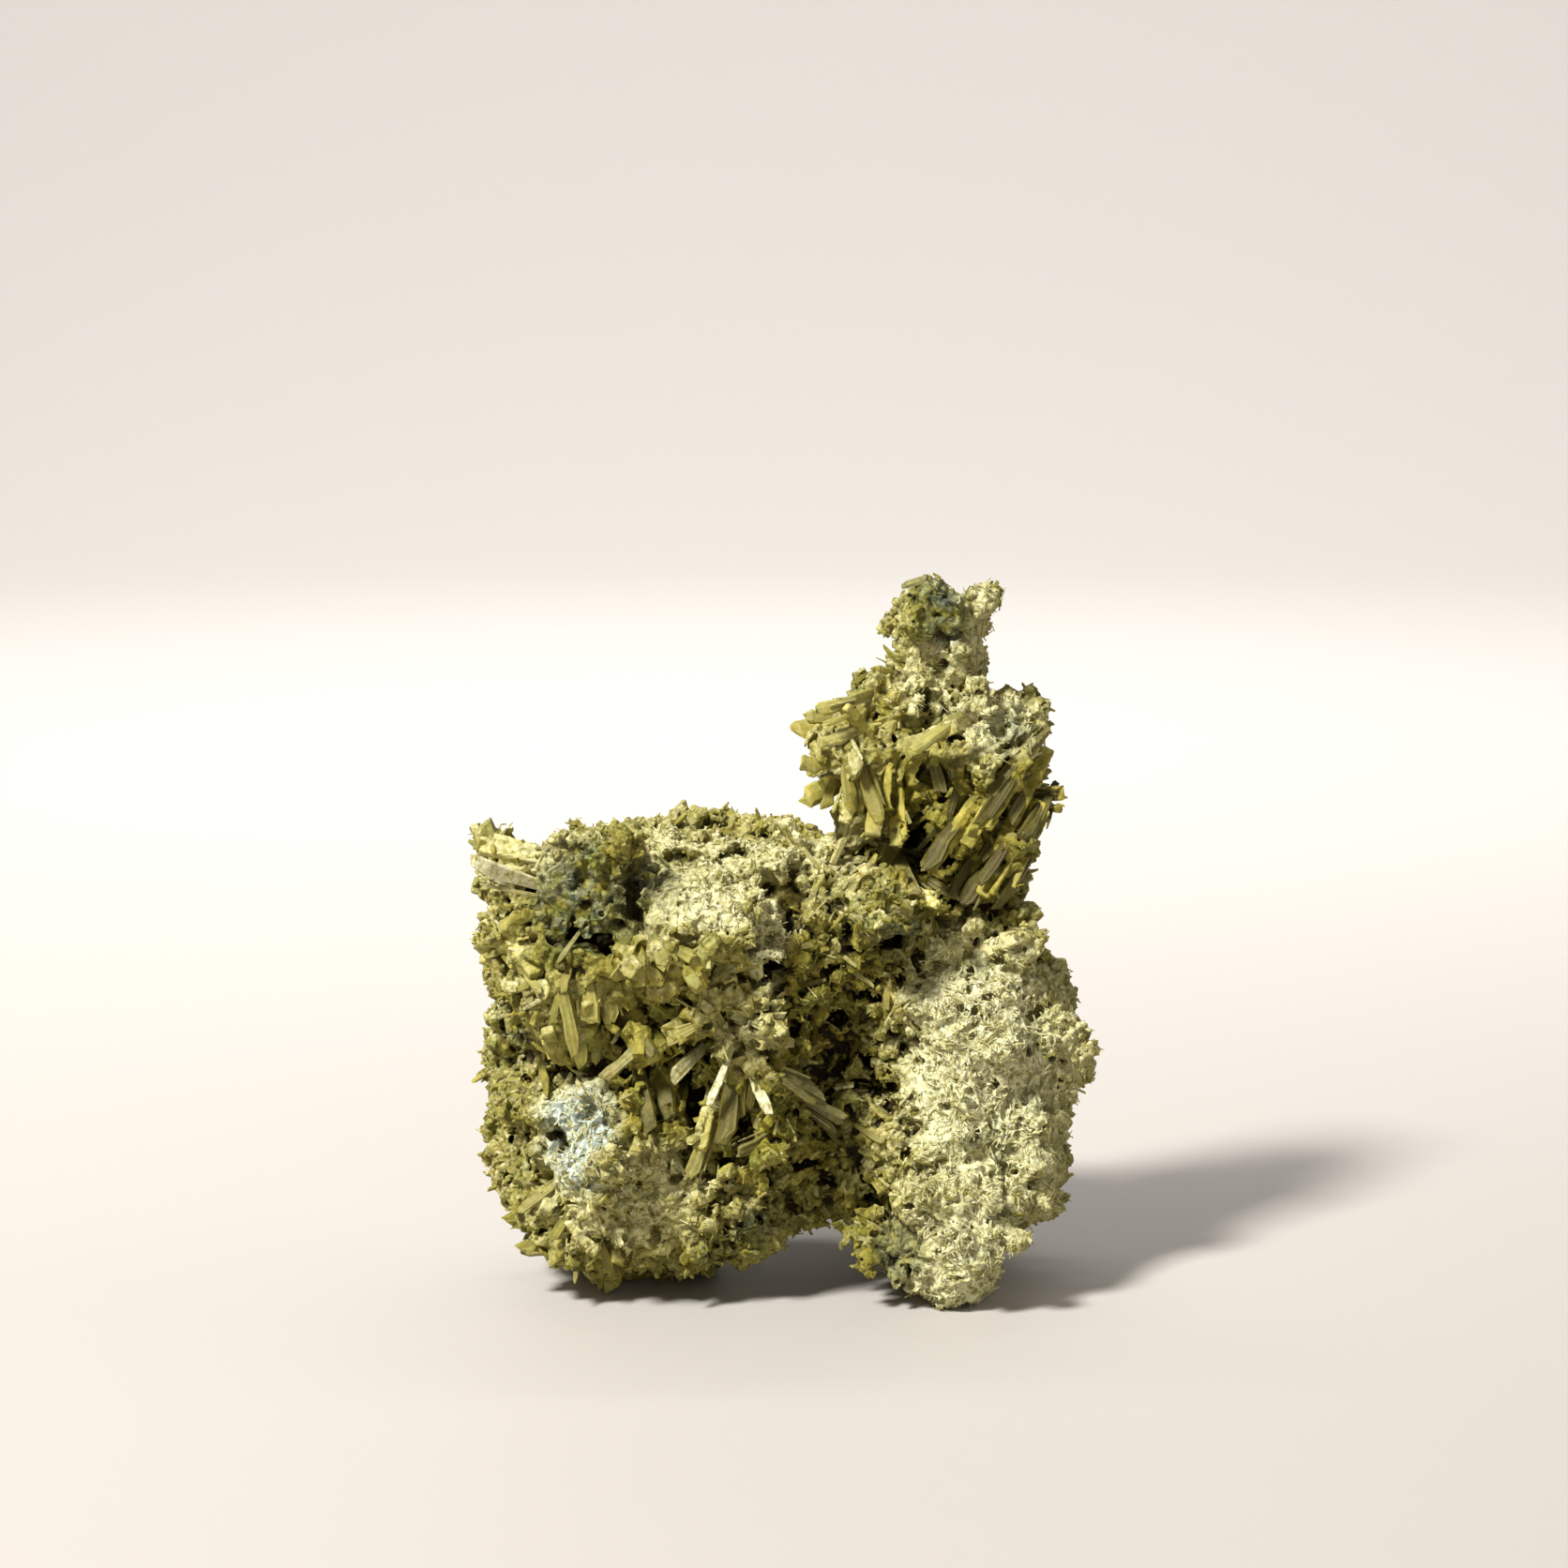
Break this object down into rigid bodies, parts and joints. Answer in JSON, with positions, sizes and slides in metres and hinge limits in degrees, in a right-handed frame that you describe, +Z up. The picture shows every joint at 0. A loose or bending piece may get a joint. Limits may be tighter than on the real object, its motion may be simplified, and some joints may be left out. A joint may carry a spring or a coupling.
{
  "type": "epidote crystal cluster",
  "caption": "Natural cluster of bladed epidote: a porous, knobbly body on two feet with an arch between them and a tower rising at one side.",
  "frame": {"origin": "middle of the stone's box in plan, on the plane it rests on", "axes": "+Z up through the tower, -Y towards the bladed front, +X towards the side with the tower"},
  "size_m": [0.0781, 0.0484, 0.09],
  "materials": {
    "epidote": "rough porous crust with glossy yellow-green blades, pale dusting and dark grey-green patches"
  },
  "bodies": {
    "root": {"epidote_cluster": "epidote"}
  },
  "joints": []
}
